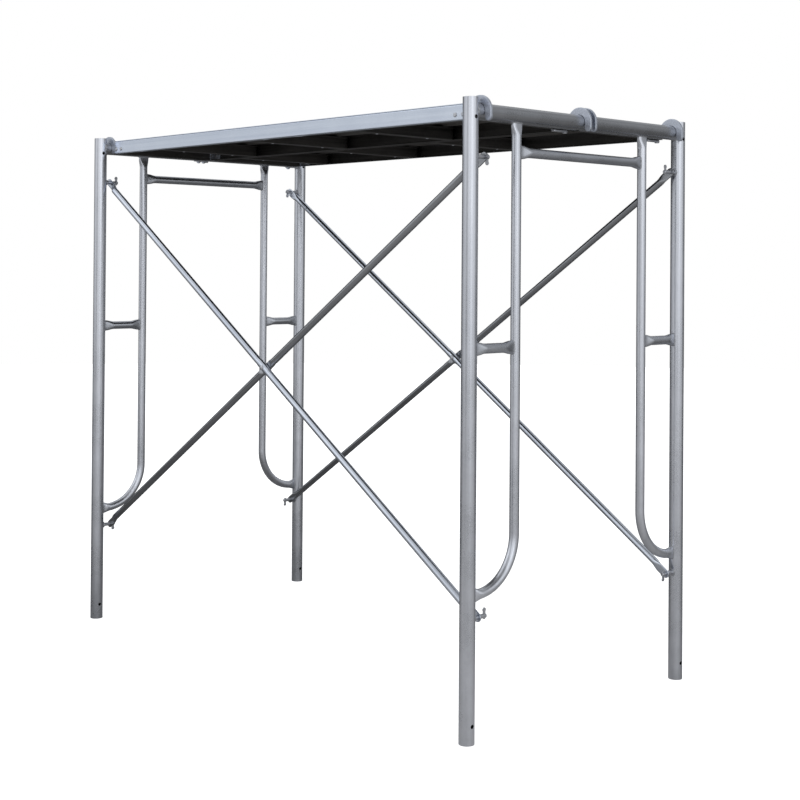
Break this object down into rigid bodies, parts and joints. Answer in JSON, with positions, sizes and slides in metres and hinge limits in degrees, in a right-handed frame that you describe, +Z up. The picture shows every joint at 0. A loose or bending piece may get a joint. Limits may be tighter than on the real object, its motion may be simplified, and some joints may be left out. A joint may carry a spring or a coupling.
{
  "type": "frame scaffold section",
  "caption": "Steel scaffold bay: two welded walk-through end frames joined by scissor cross braces on flip-lock pins, carrying hook-on work planks.",
  "frame": {"origin": "on the ground, at the centre of the four feet", "axes": "+X along the bay from the left end frame to the right one, +Y across it from front to back, +Z up"},
  "size_m": [1.915, 0.9566, 1.708],
  "materials": {
    "frame_tube": "satin galvanised",
    "brace_tube": "bright zinc",
    "side_rail": "smooth galvanised",
    "deck_steel": "galvanised sheet",
    "hook_plate": "light zinc",
    "lock_plate": "zinc",
    "pins_and_rivets": "zinc"
  },
  "bodies": {
    "end_frames": {"right_front_leg": "frame_tube", "right_back_leg": "frame_tube", "right_header": "frame_tube", "right_front_hoop": "frame_tube", "right_back_hoop": "frame_tube", "right_inner_rail": "frame_tube", "right_front_rung": "frame_tube", "right_back_rung": "frame_tube", "right_brace_pins": "pins_and_rivets", "right_lock_rivets": "pins_and_rivets", "left_front_leg": "frame_tube", "left_back_leg": "frame_tube", "left_header": "frame_tube", "left_front_hoop": "frame_tube", "left_back_hoop": "frame_tube", "left_inner_rail": "frame_tube", "left_front_rung": "frame_tube", "left_back_rung": "frame_tube", "left_brace_pins": "pins_and_rivets", "left_lock_rivets": "pins_and_rivets"},
    "front_brace": {"front_brace_outer_tube": "brace_tube", "front_brace_inner_tube": "brace_tube", "front_brace_rivet": "pins_and_rivets"},
    "back_brace": {"back_brace_outer_tube": "brace_tube", "back_brace_inner_tube": "brace_tube", "back_brace_rivet": "pins_and_rivets"},
    "right_front_top_lock": {"right_front_top_lock": "lock_plate"},
    "right_front_bottom_lock": {"right_front_bottom_lock": "lock_plate"},
    "right_back_top_lock": {"right_back_top_lock": "lock_plate"},
    "right_back_bottom_lock": {"right_back_bottom_lock": "lock_plate"},
    "left_front_top_lock": {"left_front_top_lock": "lock_plate"},
    "left_front_bottom_lock": {"left_front_bottom_lock": "lock_plate"},
    "left_back_top_lock": {"left_back_top_lock": "lock_plate"},
    "left_back_bottom_lock": {"left_back_bottom_lock": "lock_plate"},
    "front_plank": {"front_plank_sheet": "deck_steel", "front_plank_outer_rail": "side_rail", "front_plank_inner_rail": "side_rail", "front_plank_left_end": "deck_steel", "front_plank_right_end": "deck_steel", "front_plank_stiffeners": "deck_steel", "front_plank_left_hooks": "hook_plate", "front_plank_right_hooks": "hook_plate", "front_plank_rivets": "pins_and_rivets"},
    "back_plank": {"back_plank_sheet": "deck_steel", "back_plank_outer_rail": "side_rail", "back_plank_inner_rail": "side_rail", "back_plank_left_end": "deck_steel", "back_plank_right_end": "deck_steel", "back_plank_stiffeners": "deck_steel", "back_plank_left_hooks": "hook_plate", "back_plank_right_hooks": "hook_plate", "back_plank_rivets": "pins_and_rivets"},
    "front_plank_left_latch": {"front_plank_left_latch": "hook_plate"},
    "front_plank_right_latch": {"front_plank_right_latch": "hook_plate"},
    "back_plank_left_latch": {"back_plank_left_latch": "hook_plate"},
    "back_plank_right_latch": {"back_plank_right_latch": "hook_plate"}
  },
  "joints": [
    {"name": "right_front_top_lock_flip", "type": "hinge", "parent": "end_frames", "child": "right_front_top_lock", "pos_m": [0.9145, -0.393, 1.545], "axis": [1, 0, 0], "range_deg": [0, 90]},
    {"name": "right_front_bottom_lock_flip", "type": "hinge", "parent": "end_frames", "child": "right_front_bottom_lock", "pos_m": [0.9145, -0.393, 0.326], "axis": [-1, 0, 0], "range_deg": [0, 90]},
    {"name": "right_back_top_lock_flip", "type": "hinge", "parent": "end_frames", "child": "right_back_top_lock", "pos_m": [0.9145, 0.393, 1.545], "axis": [1, 0, 0], "range_deg": [0, 90]},
    {"name": "right_back_bottom_lock_flip", "type": "hinge", "parent": "end_frames", "child": "right_back_bottom_lock", "pos_m": [0.9145, 0.393, 0.326], "axis": [-1, 0, 0], "range_deg": [0, 90]},
    {"name": "left_front_top_lock_flip", "type": "hinge", "parent": "end_frames", "child": "left_front_top_lock", "pos_m": [-0.9145, -0.393, 1.545], "axis": [-1, 0, 0], "range_deg": [0, 90]},
    {"name": "left_front_bottom_lock_flip", "type": "hinge", "parent": "end_frames", "child": "left_front_bottom_lock", "pos_m": [-0.9145, -0.393, 0.326], "axis": [1, 0, 0], "range_deg": [0, 90]},
    {"name": "left_back_top_lock_flip", "type": "hinge", "parent": "end_frames", "child": "left_back_top_lock", "pos_m": [-0.9145, 0.393, 1.545], "axis": [-1, 0, 0], "range_deg": [0, 90]},
    {"name": "left_back_bottom_lock_flip", "type": "hinge", "parent": "end_frames", "child": "left_back_bottom_lock", "pos_m": [-0.9145, 0.393, 0.326], "axis": [-1, 0, 0], "range_deg": [0, 90]},
    {"name": "front_brace_play", "type": "slide", "parent": "end_frames", "child": "front_brace", "axis": [0, 1, 0], "range_m": [0, 0.003]},
    {"name": "back_brace_play", "type": "slide", "parent": "end_frames", "child": "back_brace", "axis": [0, -1, 0], "range_m": [0, 0.003]},
    {"name": "front_plank_lift", "type": "slide", "parent": "end_frames", "child": "front_plank", "axis": [0, 0, 1], "range_m": [0, 0.15]},
    {"name": "back_plank_lift", "type": "slide", "parent": "end_frames", "child": "back_plank", "axis": [0, 0, 1], "range_m": [0, 0.15]},
    {"name": "front_plank_left_latch_swing", "type": "hinge", "parent": "front_plank", "child": "front_plank_left_latch", "pos_m": [-0.874, -0.0285, 1.6405], "axis": [0, 0, -1], "range_deg": [0, 90]},
    {"name": "front_plank_right_latch_swing", "type": "hinge", "parent": "front_plank", "child": "front_plank_right_latch", "pos_m": [0.874, -0.0285, 1.6405], "axis": [0, 0, 1], "range_deg": [0, 90]},
    {"name": "back_plank_left_latch_swing", "type": "hinge", "parent": "back_plank", "child": "back_plank_left_latch", "pos_m": [-0.874, 0.4045, 1.6405], "axis": [0, 0, -1], "range_deg": [0, 90]},
    {"name": "back_plank_right_latch_swing", "type": "hinge", "parent": "back_plank", "child": "back_plank_right_latch", "pos_m": [0.874, 0.4045, 1.6405], "axis": [0, 0, 1], "range_deg": [0, 90]}
  ]
}
